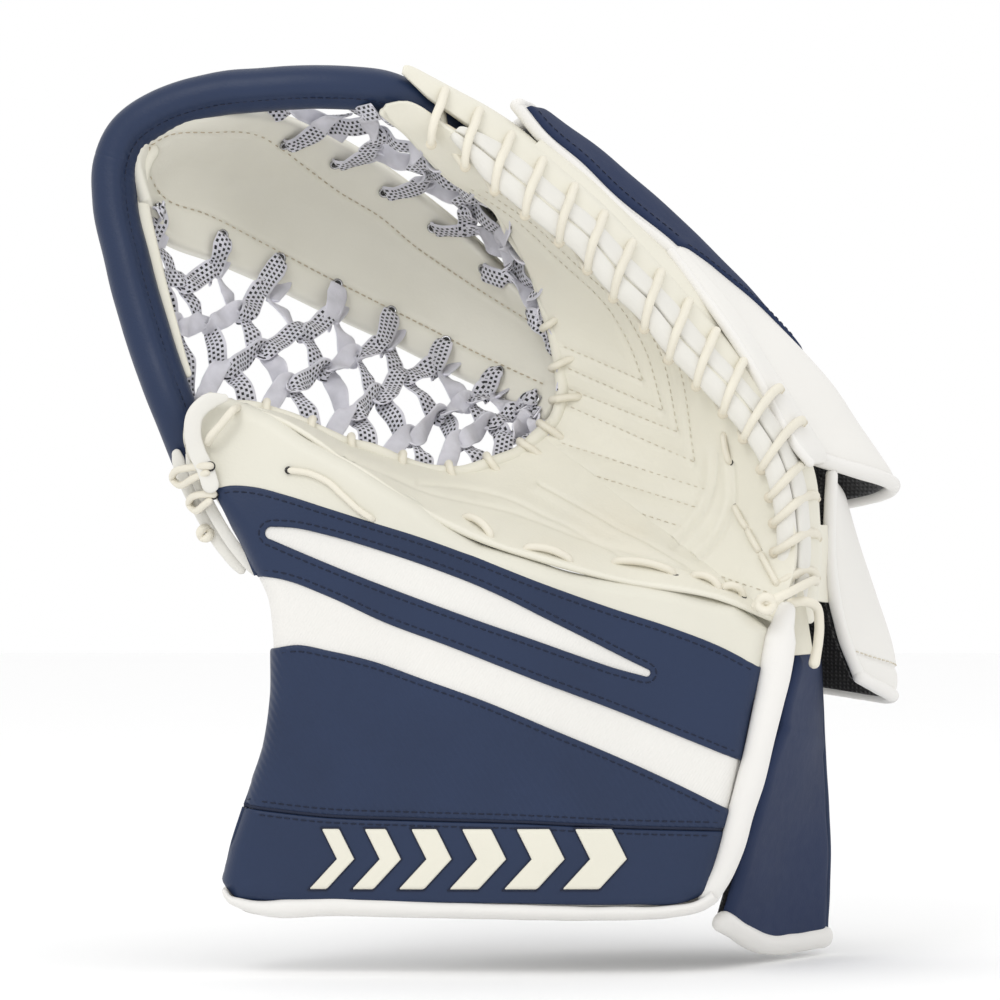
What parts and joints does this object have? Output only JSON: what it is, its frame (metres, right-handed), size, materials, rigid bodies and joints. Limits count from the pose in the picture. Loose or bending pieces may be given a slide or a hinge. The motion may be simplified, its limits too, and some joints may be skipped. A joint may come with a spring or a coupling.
{
  "type": "goalie catch glove",
  "caption": "Left-hand ice-hockey goalie catch glove: padded cuff and thumb board, T web with laced pocket netting, palm, finger guard, side flap, wrist guard and two straps.",
  "frame": {"origin": "centre of the wrist opening, between the cuff's back and the wrist strap", "axes": "+Z from the cuff's lower edge towards the fingertips; -Y out of the palm and the cuff's face; -X towards the thumb"},
  "size_m": [0.3254, 0.1563, 0.3551],
  "materials": {
    "skin_navy": "matte grained synthetic leather",
    "skin_white": "matte fine-textured synthetic leather",
    "guard_white": "skinned board, matte",
    "palm_leather": "smooth cream leather",
    "emblem_cream": "embroidered",
    "foam": "closed-cell foam",
    "lining_black": "brushed knit",
    "strap_black": "woven hook-and-loop webbing",
    "net_lace": "flat woven lace",
    "leather_lace": "waxed round lace"
  },
  "bodies": {
    "cuff": {"cuff_core": "foam", "cuff_face_skin": "skin_white", "cuff_lining": "lining_black", "cuff_lower_panel": "skin_navy", "cuff_wedge_panel": "skin_navy", "cuff_band_panel": "skin_navy", "cuff_emblem": "emblem_cream", "cuff_bottom_binding": "skin_white", "cuff_side_binding": "skin_white", "thumb_inner_leather": "palm_leather", "thumb_back_pad": "skin_navy", "thumb_stall": "lining_black", "thumb_pocket_roll": "palm_leather", "thumb_edge_lace": "leather_lace", "perimeter_bar_thumb": "skin_navy", "pocket_net_thumb": "net_lace", "wrist_strap_left": "strap_black", "wrist_strap_right": "strap_black"},
    "web": {"web_front_leather": "palm_leather", "web_stiffener": "foam", "web_back_leather": "palm_leather", "perimeter_bar_corner": "skin_navy"},
    "fingers": {"perimeter_bar_finger": "skin_navy", "pocket_net_finger": "net_lace", "palm_leather": "palm_leather", "palm_pad": "foam", "finger_pocket_roll": "palm_leather", "finger_gusset": "palm_leather", "palm_edge_binding": "skin_white", "back_edge_binding": "skin_white", "rim_lace": "leather_lace", "backhand_board": "foam", "backhand_lining": "lining_black", "finger_guard_shell": "guard_white", "finger_guard_lining": "lining_black", "finger_guard_panel": "skin_navy", "finger_stall_1": "lining_black", "finger_stall_2": "lining_black", "finger_stall_3": "lining_black", "finger_stall_4": "lining_black", "hand_strap_base": "strap_black"},
    "wrist_guard": {"wrist_guard_shell": "guard_white", "wrist_guard_lining": "lining_black"},
    "side_flap": {"side_flap_panel": "skin_navy", "side_flap_lining": "lining_black"},
    "hand_strap": {"hand_strap_tab": "skin_navy"},
    "wrist_strap": {"wrist_strap_tab": "skin_navy"}
  },
  "joints": [
    {"name": "web_fold", "type": "hinge", "parent": "cuff", "child": "web", "pos_m": [-0.196, -0.022, 0.252], "axis": [0.8102, -0.0872, -0.5796], "range_deg": [0, 12], "stiffness_Nm_per_rad": 2},
    {"name": "finger_fold", "type": "hinge", "parent": "web", "child": "fingers", "pos_m": [-0.196, -0.022, 0.252], "axis": [0.8102, -0.0872, -0.5796], "range_deg": [0, 12], "stiffness_Nm_per_rad": 2},
    {"name": "wrist_guard_flex", "type": "hinge", "parent": "fingers", "child": "wrist_guard", "pos_m": [0.083, 0.006, 0.118], "axis": [0.5524, -0.8336, 0], "range_deg": [0, 10], "stiffness_Nm_per_rad": 0.4},
    {"name": "side_flap_flex", "type": "hinge", "parent": "cuff", "child": "side_flap", "pos_m": [0.059, -0.049, 0.016], "axis": [-0.2291, 0.01, -0.9734], "range_deg": [-8, 5], "stiffness_Nm_per_rad": 0.4},
    {"name": "hand_strap_peel", "type": "hinge", "parent": "fingers", "child": "hand_strap", "pos_m": [0.098, 0.0528, 0.144], "axis": [0.5498, -0.03, -0.8347], "range_deg": [0, 90]},
    {"name": "wrist_strap_peel", "type": "hinge", "parent": "cuff", "child": "wrist_strap", "pos_m": [-0.031, 0.0526, 0], "axis": [0, 0, 1], "range_deg": [0, 100]}
  ],
  "couplings": [
    {"joint": "finger_fold", "follows": "web_fold", "ratio": 1}
  ]
}
